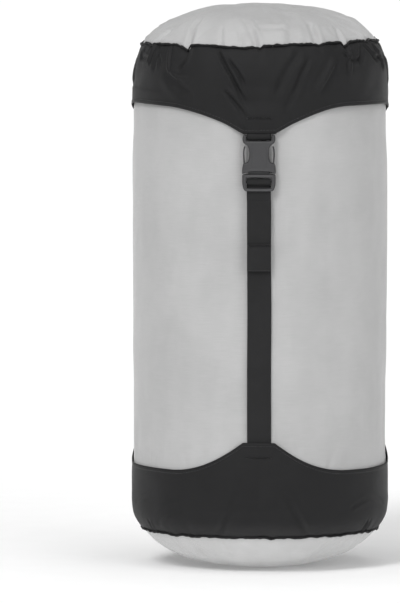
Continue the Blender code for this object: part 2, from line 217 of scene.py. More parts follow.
def fold(x, y, line, depth, width):
    """A valley with soft shoulders along a line, or with a negative depth a ridge. Both sizes are in mm."""
    line, depth, width = np.array(line, float), depth / 1000, width / 1000
    lengths = np.linalg.norm(np.diff(line, axis=0), axis=1)
    starts = np.append(0, np.cumsum(lengths))
    nearest = np.full(np.shape(x), np.inf)
    signed = along = np.zeros(np.shape(x))
    for (ax, ay), (bx, by), length, start in zip(line, line[1:], lengths, starts):
        ux, uy = (bx - ax) / length, (by - ay) / length
        run = np.clip((x - ax) * ux + (y - ay) * uy, 0, length)
        dx, dy = x - ax - run * ux, y - ay - run * uy
        away = np.hypot(dx, dy)
        closer = away < nearest
        nearest = np.where(closer, away, nearest)
        signed = np.where(closer, away * np.sign(dx * uy - dy * ux), signed)
        along = np.where(closer, start + run, along)
    share = along / starts[-1]
    taper = ease(share * 4) * ease((1 - share) * 4)
    lips = 0.55 * hump(signed - 1.7 * width, width) + 0.20 * hump(signed + 1.9 * width, width)
    return depth * taper * (lips - hump(nearest, width))


def band_folds(angle, arc, lines):
    """A band's folds, at the front strap and alike at the other two."""
    total = np.zeros_like(arc)
    for turned_by, flip, strength in ((0, 1, 1.0), (120, -1, 0.9), (240, 1, 0.8)):
        x = np.radians(away_from(flip * (angle - turned_by), 0)) * RADIUS
        for depth, width, *line in lines:
            points = [(radians(a) * RADIUS, b / 1000) for a, b in line]
            total += BAND_FOLDING * strength * fold(x, arc, points, depth, width)
    return total


# Each fold is its depth and width in mm, then its points: angle and arc in mm
BAND_FOLDS = {
    "lid": [
        (1.4, 1.4, (-22, 104), (-17, 118), (-12.2, 132), (-8.9, 144), (-4.7, 157)),
        (1.0, 1.2, (-15.4, 115.5), (-9.8, 127.4), (-5.5, 141)),
        (1.5, 1.5, (-16.5, 142.7), (-12.2, 150.1), (-8.9, 157.6), (-4.7, 168)),
        (0.8, 3.2, (21.1, 106.7), (13.1, 126), (9.7, 138), (6.2, 152.5)),
        (0.8, 2.2, (24.8, 114.5), (19.7, 129), (17.1, 141), (13.6, 154), (10, 162)),
        (-1.0, 2.8, (38.3, 115.3), (32.3, 129.7), (25.6, 147.5)),
        (1.0, 1.8, (42.6, 111.8), (47.2, 120), (56, 119)),
        (1.0, 4.0, (-49.6, 128), (-41.7, 138), (-36.4, 145), (-29.5, 151.4)),
        (1.1, 1.6, (-35.9, 104), (-36.2, 120.4), (-39.8, 131)),
        (-1.0, 1.6, (-61.4, 104), (-62.4, 127)),
        (0.6, 2.4, (-57, 104), (-56, 132)),
        (0.9, 2.0, (60, 105), (69, 125)),
        (-0.8, 1.6, (71, 104), (74, 122), (75.5, 134)),
        (0.6, 1.2, (-10, 170), (-4.5, 179)),
        (-0.6, 1.4, (-46.1, 128.6), (-39, 134.5), (-32.4, 134)),
    ],
    "base": [
        (0.4, 2.6, (-21, 108), (-15, 128), (-9, 150)),
        (0.4, 2.6, (24, 110), (17, 130), (10, 152)),
        (0.4, 3.0, (-56, 116), (-47, 128), (-36, 136)),
        (0.35, 1.6, (44, 132), (52, 137), (60, 140)),
        (0.5, 1.8, (58, 108), (59, 122)),
    ],
}

# At the front of the lid's panel
DOME_FOLDS = [
    (2.4, 2.6, (-46.4, 66), (-42.4, 84), (-39, 95), (-36.4, 115)),
    (2.6, 2.4, (-11.6, 64), (-3.6, 89), (-0.1, 115)),
    (1.2, 1.4, (-23.2, 80), (-18, 110)),
    (1.2, 1.5, (-11.6, 84), (-7.4, 110)),
    (1.9, 2.6, (33.9, 76), (29.5, 108)),
    (1.4, 2.2, (50.7, 82), (44.8, 110)),
    (1.3, 4.5, (25, 36), (24.6, 58), (20.4, 78), (15, 112)),
    (0.6, 3.0, (-5, 77), (8, 83), (20, 86)),
    (-1.3, 2.2, (-60.5, 86), (-66, 112)),
    (1.6, 3.0, (54, 60), (62, 82), (71, 108)),
]


def dome_folds(angle, arc, end):
    """The folds of an end panel: listed ones at the lid's front, and seeded ones round the rest."""
    turn = np.radians(angle)
    x, y = arc * np.sin(turn), arc * np.cos(turn)
    total = np.zeros_like(arc)
    lines = list(DOME_FOLDS) if end == "lid" else []
    random = np.random.default_rng(12 if end == "lid" else 13)
    first, last, size = (80.0, 280.0, 1.9) if end == "lid" else (0.0, 360.0, 0.6)
    count = 16
    for i in range(count):
        place = first + (last - first) * (i + random.uniform(0.1, 0.9)) / count
        reach = random.uniform(12.0, 40.0)
        lean = random.uniform(-7.0, 7.0)
        line = [(place + lean, 102.0 - reach), (place + 0.4 * lean, 102.0 - 0.4 * reach), (place, 114.0)]
        lines.append((size * random.uniform(0.4, 1.0), random.uniform(1.4, 3.2), *line))
    for depth, width, *line in lines:
        turns = [(b / 1000, radians(a)) for a, b in line]
        points = [(reach * sin(turn), reach * cos(turn)) for reach, turn in turns]
        total += DOME_FOLDING * fold(x, y, points, depth, width)
    return total


def slack(angle, arc, end):
    """Where the filled bag bulges less under the lid's shoulder: more on its left than on its right."""
    if end == "base":
        return 0.0
    lost = 0.0023 * hump(away_from(angle, -90), 32) + 0.0005 * hump(away_from(angle, 90), 28)
    return -lost * ease((arc - 0.102) / 0.018) * ease((0.176 - arc) / 0.045)


def pucker(angle, arc, seam, place, depth, width, reach, lean):
    """A gather at a seam, which fades with distance from it on both sides."""
    along = arc - seam
    away = away_from(angle, place) * pi / 180.0 * RADIUS - lean * along
    spread = width + 0.22 * np.abs(along)
    lip = 0.5 * hump(np.abs(away) - 1.7 * spread, spread)
    return depth * (lip - hump(away, spread)) * np.exp(-np.abs(along) / reach)


def all_dips(front, seed, count, largest):
    """The dips at the front, and seeded ones round the rest of a seam."""
    random = np.random.default_rng(seed)
    made = list(front)
    low, high = front[-1][0] + 10.0, 360.0 + front[0][0] - 10.0
    for i in range(count):
        place = low + (high - low) * (i + random.uniform(0.2, 0.8)) / count
        made.append((place, largest * random.uniform(0.3, 1.0), *random.uniform(1.2, 4.5, 2)))
    return made


# Dips of a seam: angle, drop in mm, and degrees over which it comes and goes
LID_DIPS = [
    (-88, 3.4, 12, 10), (-66, 1.8, 3, 2.5), (-37, 3.4, 4.5, 1.3), (-10, 1.8, 9, 14), (0.6, 1.4, 3, 0.9),
    (30.5, 1.4, 3.5, 3), (46, 3, 1.5, 4), (66, 1.2, 4, 3), (88, 4.4, 10, 12),
]
BASE_DIPS = [(7, 1.6, 2, 1), (19, 0.9, 3, 3), (40, 0.7, 5, 5), (67, 1, 2, 4)]
SEAM_DIPS = {"lid": all_dips(LID_DIPS, 5, 13, 3.0), "base": all_dips(BASE_DIPS, 8, 16, 1.6)}


def seam_arc(angle, end):
    """Where the seam runs: higher than its cut line between the gathers, and drawn down at each of them."""
    lid = end == "lid"
    rise = 1.9 + 1.5 * np.sin(np.radians(angle)) if lid else 1.7
    for place, drop, before, after in SEAM_DIPS[end]:
        away = away_from(angle, place)
        rise -= drop * hump(away, np.where(away < 0, before, after))
    rise = rise / 1000 + ripples(angle, 0.0, 21 if lid else 22, 0.00016, 20, 60)
    return np.interp(TOP - LID_SEAM - rise if lid else BASE_SEAM + SINK + rise, ARC_DEPTH, ARC)


def seam_relief(angle, arc, end):
    """The gathers at a seam, and the dip of the seam itself between the two cloths."""
    seam = seam_arc(angle, end)
    total = np.zeros_like(arc)
    for number, (place, drop, before, after) in enumerate(SEAM_DIPS[end]):
        size = (0.45 if end == "lid" else 0.35) * drop / 1000
        width = 0.0012 + 0.0004 * min(before, after)
        reach = 0.009 + 0.004 * sin(1.7 * number) ** 2
        total += pucker(angle, arc, seam, place, size, width, reach, 0.25 * sin(2.4 * number))
    return total - 0.0008 * hump(arc - seam, 0.0022) + slack(angle, arc, end)


# Objects


def in_scene(name, data):
    obj = bpy.data.objects.new(name, data)
    bpy.context.scene.collection.objects.link(obj)
    return obj


def add(name, mesh, material):
    mesh.materials.append(material)
    mesh.shade_smooth()
    return in_scene(name, mesh)


def shape_mesh(name, shape):
    mesh = bpy.data.meshes.new(name)
    shape.to_mesh(mesh)
    shape.free()
    return mesh


def evaluated(obj):
    """A new mesh of obj as it is with its modifiers."""
    bpy.context.view_layer.update()
    return bpy.data.meshes.new_from_object(obj.evaluated_get(bpy.context.evaluated_depsgraph_get()))


def configured(thing, **settings):
    for key, value in settings.items():
        setattr(thing, key, value)
    return thing


def weld(obj):
    obj.modifiers.new("weld", "WELD").merge_threshold = 0.00002


def grid_object(name, points, uv, material, flip=False, ends=False):
    """A sheet round an axis, from rows x columns of points. flip turns it over; ends closes its two ends."""
    if flip:
        points, uv = points[::-1], uv[::-1]
    rows, columns = points.shape[:2]
    row, column = np.meshgrid(np.arange(rows - 1), np.arange(columns), indexing="ij")
    steps = ((0, 0), (0, 1), (1, 1), (1, 0))
    quads = np.stack([(row + down) * columns + (column + along) % columns for down, along in steps], axis=-1)
    faces = quads.reshape(-1, 4).tolist()
    if ends:
        faces += [list(range(columns))[::-1], [(rows - 1) * columns + k for k in range(columns)]]
    mesh = bpy.data.meshes.new(name)
    mesh.from_pydata(points.reshape(-1, 3).tolist(), [], faces)
    span = np.broadcast_to(uv, (rows, columns + 1, 2))
    corners = np.stack([span[row + down, column + along] for down, along in steps], axis=-2).reshape(-1, 2)
    if ends:
        corners = np.vstack([corners, np.zeros((2 * columns, 2))])
    mesh.uv_layers.new(name="cloth").data.foreach_set("uv", corners.reshape(-1).astype(np.float32))
    return add(name, mesh, material)


def thicken(obj):
    configured(obj.modifiers.new("thickness", "SOLIDIFY"), thickness=CLOTH, offset=-1.0)
    return obj


def sheet_uv(angle, arc):
    """Cloth coordinates in metres, one column more than the sheet so that they don't wrap."""
    u = np.radians(np.append(angle[0], 360.0 + angle[0, 0])) * RADIUS
    v = np.concatenate([arc, arc[:, :1]], axis=1)
    return np.stack([np.broadcast_to(u, v.shape), v], axis=-1)


def ring_angles(columns):
    return np.linspace(0, 360, columns, endpoint=False)[None, :]


def shares(rows):
    return np.linspace(0, 1, rows)[:, None]


def mount(obj, body, node=None):
    """Puts a piece on its body, if it has just one, and hides the CAD node it stands in for."""
    if body:
        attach(obj, body)
    if node:
        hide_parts(node)


# The cloth pieces

# Hollows of the lid's panel, or swellings: angle, arc, depth, and reach round the bag and along it
LID_DENTS = [
    (8, 0.050, 0.0040, 0.021, 0.020), (-30, 0.092, 0.0016, 0.010, 0.012),
    (-18, 0.072, -0.0022, 0.014, 0.018), (40, 0.076, -0.0019, 0.014, 0.018),
]


def dent(angle, arc, at_angle, at_arc, depth, across, along):
    away = away_from(angle, at_angle) * pi / 180.0 * arc
    return depth * np.exp(-((away / across) ** 2) - (((arc - at_arc) / along) ** 2))


def undulation(angle, arc, seed, size, short, long):
    """Broad swells that run in every direction, so that they don't meet at a panel's middle."""
    x, y = arc * np.sin(np.radians(angle)), arc * np.cos(np.radians(angle))
    random = np.random.default_rng(seed)
    total = np.zeros_like(arc)
    for _ in range(UNDULATIONS):
        heading, phase = random.uniform(0.0, 2 * pi, 2)
        length = random.uniform(short, long)
        total += np.cos(2 * pi * (x * cos(heading) + y * sin(heading)) / length + phase)
    return size * total / sqrt(UNDULATIONS)


def dome(end, material):
    """An end panel, wrinkled near its seam and swelling gently in its middle."""
    columns, rows = 300, 64
    lid = end == "lid"
    seed = 31 if lid else 32
    angle = ring_angles(columns)
    seam = seam_arc(angle, end)
    arc = shares(rows) ** 0.85 * (seam - SEAM_GAP)
    near_seam = ease((seam - arc) / 0.02)
    swell = ease((arc - 0.012) / 0.045) * near_seam
    fine = ease((arc - 0.040) / 0.045) * near_seam
    middle = ease((0.064 - arc) / 0.034)
    height = seam_relief(angle, arc, end) + dome_folds(angle, arc, end)
    height += undulation(angle, arc, seed + 4, 0.00034, 0.024, 0.060) * middle
    for hollow in LID_DENTS if lid else ():
        height -= dent(angle, arc, *hollow)
    height += ripples(angle, arc, seed, 0.0007, 5, 12, 2.0) * swell
    height += ripples(angle, arc, seed + 2, 0.00022, 14, 34, 1.6) * fine
    if lid:
        over_mouth = ease((arc - 0.056) / 0.010) * ease((0.087 - arc) / 0.009)
        height = held(height, 0.0032 - 0.0018 * over_mouth)
    else:
        height *= ease((arc - 0.036) / 0.015)
    points = surface(angle, arc, height - CLOTH, end)
    obj = grid_object(f"{end}_dome", points, sheet_uv(angle, arc), material, flip=lid)
    weld(obj)
    return thicken(obj)


# Where a band's free edge sags: angle, drop in mm, and degrees over which it comes and goes
HEM_DROPS = {
    "lid": [(-30, 1.5, 15), (20, 0.7, 10), (-88, 1.4, 12), (86, 3, 9), (70, 0.6, 12)],
    "base": [(22, 1.5, 14), (57, 0.7, 12), (-25, 0.8, 14), (150, 1.2, 16), (220, 1, 14)],
}
# A band's ripples (seed, size, fewest and most waves), its lift over the webbing and its flare at its edge
BAND_RIPPLES = {"lid": (41, 0.00030, 9, 26), "base": (42, 0.00018, 7, 20)}
POINT_LIFT = {"lid": 0.0026, "base": 0.0013}
FLARE = {"lid": 0.0006, "base": 0.0001}


def band_edge_arc(angle, end):
    height = edge_line(angle, end)
    for place, drop, width in HEM_DROPS[end]:
        height -= drop / 1000 * hump(away_from(angle, place), width)
    return arc_at_height(height, end)


def band_height(angle, arc, end):
    """How far a band's cloth stands off the smooth bag: gathers, folds, hem, and the webbing under it."""
    lid = end == "lid"
    depth = np.interp(arc, ARC, ARC_DEPTH)
    height = TOP - depth if lid else depth - SINK
    from_edge = band_edge_arc(angle, end) - arc
    aside = np.abs(from_strap(angle))
    from_tip = np.abs(height - TIP[end])
    calm = ease((from_edge - 0.003) / 0.012)
    relief = seam_relief(angle, arc, end)
    relief += band_folds(angle, arc, BAND_FOLDS[end]) * (ease(from_edge / 0.008) if lid else calm)
    relief += ripples(angle, arc, *BAND_RIPPLES[end], 2.5) * calm
    hem = 0.00030 * ease((HEM + 0.0003 - from_edge) / 0.0006) * np.clip(from_edge / 0.0004, 0, 1)
    stitch_line = 0.00025 * hump(from_edge - HEM, 0.0006)
    proud = POINT_LIFT[end] * ease((15.0 - aside) / 6.0) * ease((0.028 - from_tip) / 0.014)
    bar = 0.0007 * hump(from_tip - BARTACK_INSET, 0.0014) * ease((7.0 - aside) / 1.5)
    flare = FLARE[end] * np.exp(-from_edge / 0.006)
    if not lid:
        flare += 0.0012 * hump(arc - 0.121, 0.010)
    over_tube = ease((BODY_TOP + 0.006 - height if lid else height - BODY_BOTTOM - 0.002) / 0.008)
    relief += 0.0009 * over_tube * hump(aside, 34.0) * ease(from_edge / 0.014)
    relief = held(relief, 0.0036 - 0.0034 * over_tube)
    return relief + hem - (stitch_line + bar) * (1 - 0.6 * over_tube) + proud + flare


def band(end, material):
    """A dark end band: gathered at its seam, hemmed at its edge, and proud over the webbing at its points."""
    columns, rows = 660, 46
    angle = ring_angles(columns)
    seam, edge = seam_arc(angle, end), band_edge_arc(angle, end)
    arc = seam + SEAM_GAP + (edge - seam - SEAM_GAP) * shares(rows)
    points = surface(angle, arc, band_height(angle, arc, end), end)
    uv = sheet_uv(angle, arc)
    return thicken(grid_object(f"{end}_band_cloth", points, uv, material, flip=end == "lid"))


def piping(end, material):
    """The bound seam: a thin roll of cloth, tight at the gathers and fuller between them."""
    columns, sides = 660, 10
    angle = ring_angles(columns)
    arc = seam_arc(angle, end)
    full = 1.0 + ripples(angle, arc, 51, 0.10, 40, 90) + ripples(angle, arc, 52, 0.08, 90, 160)
    around = np.linspace(0, 2 * pi, sides + 1)[:, None]
    across = 0.00095 * full * np.cos(around)
    out = -0.0001 + 0.00125 * full * np.sin(around)
    lift = np.maximum(seam_relief(angle, arc, end) + 0.0008, -0.0035)
    points = surface(angle, arc + across, out + lift, end)
    uv = np.broadcast_arrays(np.radians(np.append(angle, 360)) * RADIUS, around * 0.001)
    return grid_object(f"{end}_piping", points, np.stack(uv, axis=-1), material, flip=end == "base")


def tube_gather(angle, height, number):
    """One small pucker of the body where it is sewn into the base band."""
    random = np.random.default_rng(700 + number)
    place = random.uniform(0, 360)
    line = edge_line(np.array(place), "base")
    ranges = ((0.0003, 0.0013), (0.0014, 0.0032), (0.005, 0.012), (-0.5, 0.5))
    depth, width, reach, lean = (random.uniform(*limits) for limits in ranges)
    return pucker(angle, height, line, place, depth, width, reach, lean)


def tube(material):
    """The pale body: no wider than the bands where it packs under them, and fuller where it always shows."""
    columns, rows, gathers = 420, 130, 46
    height = np.broadcast_to(BODY_BOTTOM + (BODY_TOP - BODY_BOTTOM) * shares(rows), (rows, columns))
    angle = ring_angles(columns)
    keep = 1 - TRAVEL / (BODY_TOP - BODY_BOTTOM)
    base_line, lid_line = edge_line(angle, "base"), edge_line(angle, "lid")
    shown = ease((height - base_line + 0.004) / 0.010) * ease((lid_line - height + 0.004) / 0.010)
    covered_below = BODY_BOTTOM + (base_line - BODY_BOTTOM) / keep
    covered_above = BODY_TOP - (BODY_TOP - lid_line) / keep
    free = ease((height - covered_below) / 0.030) * ease((covered_above - height) / 0.030)
    relief = ripples(angle, height, 61, 0.00040, 4, 11, 6.0)
    relief += ripples(angle, height, 62, 0.00016, 12, 30, 4.0)
    relief += ripples(0.3 * angle, height, 63, 0.00035, 2, 6, 24.0)
    for number in range(gathers):
        relief += tube_gather(angle, height, number)
    near_strap = np.abs(from_strap(angle)) * pi / 180 * RADIUS
    free *= ease((near_strap - 0.014) / 0.012)
    relief -= 0.0006 * ease((0.0165 - near_strap) / 0.004)
    relief += 0.0004 * hump(near_strap - 0.021, 0.005)
    relief = np.clip(relief + 0.0009 * free, -0.0016, 0.0015 * free)
    tuck = 0.0022 * (1 - ease((height - BODY_BOTTOM) / 0.040))
    tuck += 0.0030 * ease((height - BODY_TOP + 0.019) / 0.016)
    points = round_axis(BODY_RADIUS + relief * shown - tuck, angle, height)
    obj = grid_object("bag_tube", points, sheet_uv(angle, height), material)
    mount(obj, "base", "bag_body")
    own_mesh(obj)


def collar(material):
    """The bag's shoulder under the lid, pleated towards its mouth."""
    columns, rows = 420, 44
    inset, straight = 0.0036, 0.15
    mouth, hem_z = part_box("mouth_hem")[1].x, heights("mouth_hem")[0]
    angle = ring_angles(columns)
    share = shares(rows)
    side_top = TOP - DOME_DEPTH - inset
    edge = mouth - 0.0012
    turn = np.clip((share - straight) / (1 - straight), 0, 1) * pi / 2
    radius = edge + (BODY_RADIUS - inset - edge) * np.cos(turn)
    rise = (1 - (np.minimum(radius / (RADIUS - inset), 1)) ** DOME_POWER) ** (1 / DOME_POWER)
    curved = side_top + rise * (DOME_DEPTH - inset)
    height = np.where(share < straight, BODY_TOP + (side_top - BODY_TOP) * share / straight, curved)
    pleat = ripples(angle, share * 0.1, 71, 1.0, 30, 62, 9.0)
    height = height + 0.0009 * pleat * ease((share - 0.35) / 0.65) - 0.0020 * ease((share - 0.7) / 0.3)
    points = round_axis(radius, angle, np.minimum(height, hem_z + 0.004))
    uv = sheet_uv(angle, height + share * 0.05)
    return grid_object("mouth_shoulder", points, uv, material)


def mouth_casing(material):
    """The casing sewn round the mouth, ruffled by its drawcord."""
    columns, sides, gap = 420, 14, radians(40)
    low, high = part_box("mouth_hem")
    angle = ring_angles(columns)
    centre_z, minor = (low.z + high.z) / 2, (high.z - low.z) / 2
    around = np.linspace(-pi + gap, pi - gap, sides)[:, None]
    ruffle = 1 + 0.09 * ripples(angle, around, 72, 1.0, 40, 80, 9.0)
    radius = high.x - minor + minor * ruffle * np.cos(around)
    height = centre_z + 0.82 * minor * ruffle * np.sin(around)
    uv = sheet_uv(angle, np.broadcast_to(around * minor, height.shape))
    return thicken(grid_object("mouth_casing", round_axis(radius, angle, height), uv, material))


# Threads


def unit(vectors):
    return vectors / np.maximum(np.linalg.norm(vectors, axis=-1, keepdims=True), 1e-9)


def threads(name, paths, thickness, material):
    """Sewing threads, one along each of the paths: an array of threads x points x 3."""
    sides = 6
    count, steps = paths.shape[:2]
    along = unit(np.gradient(paths, axis=1))
    beside = unit(np.cross(along, unit(paths * np.array([1.0, 1.0, 0.0]))))
    out = np.cross(beside, along)
    turn = np.linspace(0, 2 * pi, sides, endpoint=False)
    ring = np.cos(turn)[:, None] * beside[:, :, None] + np.sin(turn)[:, None] * out[:, :, None]
    points = (paths[:, :, None] + thickness / 2 * ring).reshape(-1, 3)
    faces = []
    for start in range(0, count * steps * sides, steps * sides):
        last = start + (steps - 1) * sides
        for a in range(start, last, sides):
            b = a + sides
            faces += [(a + j, a + (j + 1) % sides, b + (j + 1) % sides, b + j) for j in range(sides)]
        faces += [list(range(start, start + sides))[::-1], list(range(last, last + sides))]
    mesh = bpy.data.meshes.new(name)
    mesh.from_pydata(points.tolist(), [], faces)
    return add(name, mesh, material)


def lock_spring(material):
    """The coil in the cord lock, with closed turns at its two ends, which its button squashes."""
    low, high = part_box("cord_lock_spring")
    wire, turns = 0.0006, 5.5
    share = np.linspace(0, 1, 400)
    radius = (high.x - low.x) / 2 - wire / 2
    rise = np.interp(share, [0.0, 0.16, 0.84, 1.0], [0.0, 0.11, 0.89, 1.0])
    turn = share * turns * 2 * pi
    height = low.z + wire / 2 + (high.z - low.z - wire) * rise
    path = np.stack([radius * np.cos(turn), radius * np.sin(turn), height], axis=-1)
    obj = threads("cord_lock_coil", path[None], wire, material)
    obj.data.transform(Matrix.Translation(((low.x + high.x) / 2, (low.y + high.y) / 2, 0)))
    mount(obj, "cord_lock", "cord_lock_spring")
    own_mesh(obj)


def hem_stitches(end, thread):
    """Running stitches along a band's hem: each rises from the cloth, lies on it and goes back in."""
    pitch = 0.0028
    angle = np.linspace(0, 360, 4001)
    line = surface(angle, band_edge_arc(angle, end) - HEM, 0.0, end)
    run = np.append(0, np.cumsum(np.linalg.norm(np.diff(line, axis=0), axis=1)))
    starts = np.arange(int(run[-1] / pitch))[:, None] * pitch
    distance = starts + pitch * np.array([[0.06, 0.14, 0.34, 0.60, 0.80, 0.88]])
    lift = np.array([[-0.0003, 0.0000, 0.00014, 0.00014, 0.0000, -0.0003]])
    at = np.interp(distance, run, angle)
    arc = band_edge_arc(at, end) - HEM
    paths = surface(at, arc, band_height(at, arc, end) + lift, end)
    return threads(f"{end}_hem_stitches", paths, 0.00034, thread)


def zigzag(half_width, count, swing):
    """A bartack's close stitches: places across the webbing, and heights about its line."""
    steps = 2 * count + 1
    return np.linspace(-half_width, half_width, steps), swing * (-1.0) ** np.arange(steps)


def point_bartack(end, place, thread):
    """The bartack through a band's point, which holds the webbing under it."""
    across, swing = zigzag(0.0105, 40, 0.0009)
    upward = 1 if end == "lid" else -1
    angle = STATIONS[place] + np.degrees(across / RADIUS)
    arc = arc_at_height(TIP[end] + upward * (BARTACK_INSET + swing), end)
    path = surface(angle, arc, band_height(angle, arc, end) + 0.00008, end)[None]
    return threads(f"{end}_bartack_{place}", path, 0.00032, thread)


# Straps, each made at the front and turned to its station


def to_station(obj, place):
    obj.data.transform(Matrix.Rotation(radians(STATIONS[place]), 4, "Z"))


def smoothed(points, times, closed=False):
    """A line with its corners cut off again and again, until it is smooth."""
    line = np.array(points, float)
    for _ in range(times):
        after = np.roll(line, -1, axis=0) if closed else line[1:]
        before = line if closed else line[:-1]
        cut = np.stack([0.75 * before + 0.25 * after, 0.25 * before + 0.75 * after], axis=1).reshape(-1, 2)
        line = cut if closed else np.vstack([line[:1], cut, line[-1:]])
    return line


def evenly(points, step):
    """The same line with its points at even steps."""
    run = np.append(0, np.cumsum(np.linalg.norm(np.diff(points, axis=0), axis=1)))
    places = np.linspace(0, run[-1], max(2, int(round(run[-1] / step)) + 1))
    return np.stack([np.interp(places, run, points[:, k]) for k in range(2)], axis=1), places


def webbing(part, place, path, material, seed, step, body=None):
    """Flat webbing along a path of (distance from the axis, height), with full rounded selvedges."""
    line, run = evenly(np.array(path, float), step)
    along = unit(np.gradient(line, axis=0))
    normal = np.stack([-along[:, 1], along[:, 0]], axis=1)
    half, thick, cord = WEB_WIDTH / 2, WEB / 2, WEB * 0.56
    flat = np.linspace(-half + cord, half - cord, 16)
    bend = np.radians([50, 20, -20, -50])
    right = [(half - cord + cord * cos(t), cord * sin(t)) for t in bend]
    top = [(x, thick * (0.94 + 0.06 * cos(x / half * pi))) for x in flat]
    section = np.array(top + right + [(x, -z) for x, z in top[::-1]] + [(-x, -z) for x, z in right])
    across, lift = section[:, 0][None, :], section[:, 1][None, :]
    wave = ripples(np.full_like(run, seed * 40.0), run, seed, 0.00012, 2, 6)[:, None]
    depth, height = (line[:, k : k + 1] + lift * normal[:, k : k + 1] for k in range(2))
    points = np.stack([across + wave, -depth, height], axis=-1)
    uv = np.broadcast_arrays(np.append(across[0], across[0, 0]), run[:, None])
    obj = grid_object(f"webbing_{part}_{place}", points, np.stack(uv, axis=-1), material, ends=True)
    to_station(obj, place)
    mount(obj, body, f"{'buckle' if part == 'loop' else 'strap'}_{part}_{place}")
    return obj


def over_buckle(points):
    """A path in metres, from tenths of a millimetre, with its heights from the buckle's lower edge."""
    return [(x / 10000, BUCKLE_BOTTOM + z / 10000) for x, z in points]


# Webbing round the ladder lock's bars, and through the socket's slot
TURN = [(1076, 98), (1094, 102), (1115, 99), (1122, 86), (1120, 68), (1110, 55), (1096, 47), (1092, 36)]
LOOP = [(1073, 430), (1085, 425), (1097, 428), (1103, 438), (1104, 454), (1100, 470), (1090, 484)]


def strap(place, index, web, thread):
    """The moving webbing of one strap: its standing part, its turn in the ladder lock, and its tail."""
    path = [(STRAP_MIDDLE, STRAP_BOTTOM), (STRAP_MIDDLE, STRAP_TOP)]
    standing = webbing("standing", place, path, web, 81 + index, 0.0015, "base")
    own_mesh(standing)

    path = [(STRAP_MIDDLE, STRAP_TOP), (STRAP_MIDDLE + 0.0001, BUCKLE_BOTTOM + 0.0084)]
    path += over_buckle(TURN)
    path += [(0.1098, BUCKLE_BOTTOM + 0.0024), (TAIL_MIDDLE, BUCKLE_BOTTOM + 0.0012), (TAIL_MIDDLE, ROOT_TOP)]
    webbing("turn", place, smoothed(path, 3), web, 84 + index, 0.0005, f"plug_{place}")

    path = [(TAIL_MIDDLE, ROOT_TOP), (TAIL_MIDDLE, ROOT_BOTTOM)]
    root = webbing("tail_root", place, path, web, 87 + index, 0.0004)
    near, far = TAIL_MIDDLE, TAIL_MIDDLE + WEB + 0.0001
    path = [(near, ROOT_BOTTOM), (near, TAIL_BOTTOM + 0.0012), (near + 0.0001, TAIL_BOTTOM + 0.0004)]
    path += [((near + far) / 2, TAIL_BOTTOM + 0.0001), (far - 0.0001, TAIL_BOTTOM + 0.0004)]
    path += [(far, TAIL_BOTTOM + 0.0012), (far, TAIL_HEM)]
    tail = webbing("tail", place, smoothed(path, 2), web, 90 + index, 0.0006)
    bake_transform(root)
    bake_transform(tail)

    across, swing = zigzag(0.0085, 34, 0.0010)
    outside = np.full_like(across, -(far + WEB / 2) - 0.00008)
    bartack = np.stack([across, outside, TAIL_HEM - 0.0013 + swing], axis=-1)[None]
    bars = threads(f"tail_bartack_{place}", bartack, 0.00030, thread)
    to_station(bars, place)
    mount(bars, f"tail_{place}")


def loop(place, index, web):
    """Webbing through the socket's slot and back, with its ends sewn in under the lid's point."""
    back = STRAP_BACK + WEB / 2 - 0.0001
    path = [(back, LOOP_TOP), (back, BUCKLE_BOTTOM + 0.0440)] + over_buckle(LOOP)
    path += [(back + WEB + 0.0004, BUCKLE_BOTTOM + 0.0502), (back + WEB, LOOP_TOP)]
    webbing("loop", place, smoothed(path, 3), web, 95 + index, 0.0005, "lid")


# Moulded buckles. Outlines are (x, z) up the right side, in tenths of a mm from the buckle's lower edge.

SOCKET_OUTLINE = [
    (0, 169), (60, 167), (110, 158), (131, 146), (139, 146), (140, 160), (139, 190), (135, 213), (130, 229),
    (124, 236), (108, 235), (94, 242), (84, 268), (80, 300), (81, 335), (86, 362), (98, 383), (114, 392),
    (128, 401), (136, 419), (137, 441), (132, 462), (122, 471), (112, 471), (105, 465), (104, 452),
    (104, 430), (103, 421), (97, 417), (0, 417),
]
PANEL_OUTLINE = [(0, 196), (46, 196), (60, 206), (62, 250), (60, 370), (64, 390), (56, 402), (0, 402)]
FRAME_OUTLINE = [
    (0, 0), (106, 0), (119, 5), (128, 18), (135, 42), (139, 68), (139, 110), (139, 130), (136, 139),
    (128, 141), (0, 141),
]
FRAME_WINDOW = [(0, 24), (98, 24), (104, 30), (104, 110), (98, 116), (0, 116)]
PRONG_OUTLINE = [
    (93, 156), (122, 156), (127, 170), (127, 200), (129, 240), (132, 280), (133, 310), (131, 345), (126, 366),
    (119, 375), (112, 374), (111, 366), (117, 350), (120, 320), (119, 280), (115, 240), (112, 205),
    (104, 188), (93, 184),
]


def closed_outline(points, times=2):
    return smoothed([(x / 10000, z / 10000) for x, z in points], times, closed=True)


def mirrored(right_side):
    return right_side + [(-x, z) for x, z in right_side[::-1] if x > 0]


def plate(outlines, back, front, rounding):
    """A mesh with these closed outlines, the later ones holes, between two distances from the axis."""
    curve = configured(
        bpy.data.curves.new("outline", "CURVE"), dimensions="2D", fill_mode="BOTH", bevel_resolution=3,
        bevel_depth=rounding, offset=-rounding, extrude=(front - back) / 2 - rounding,
    )
    for outline in outlines:
        spline = curve.splines.new("POLY")
        spline.points.add(len(outline) - 1)
        for point, (x, z) in zip(spline.points, outline):
            point.co = (x, z, 0, 1)
        spline.use_cyclic_u = True
    guide = in_scene("outline", curve)
    mesh = evaluated(guide)
    bpy.data.objects.remove(guide)
    stood = Matrix.Rotation(pi / 2, 4, "X")
    mesh.transform(Matrix.Translation((0, -(back + front) / 2, BUCKLE_BOTTOM)) @ stood)
    return mesh


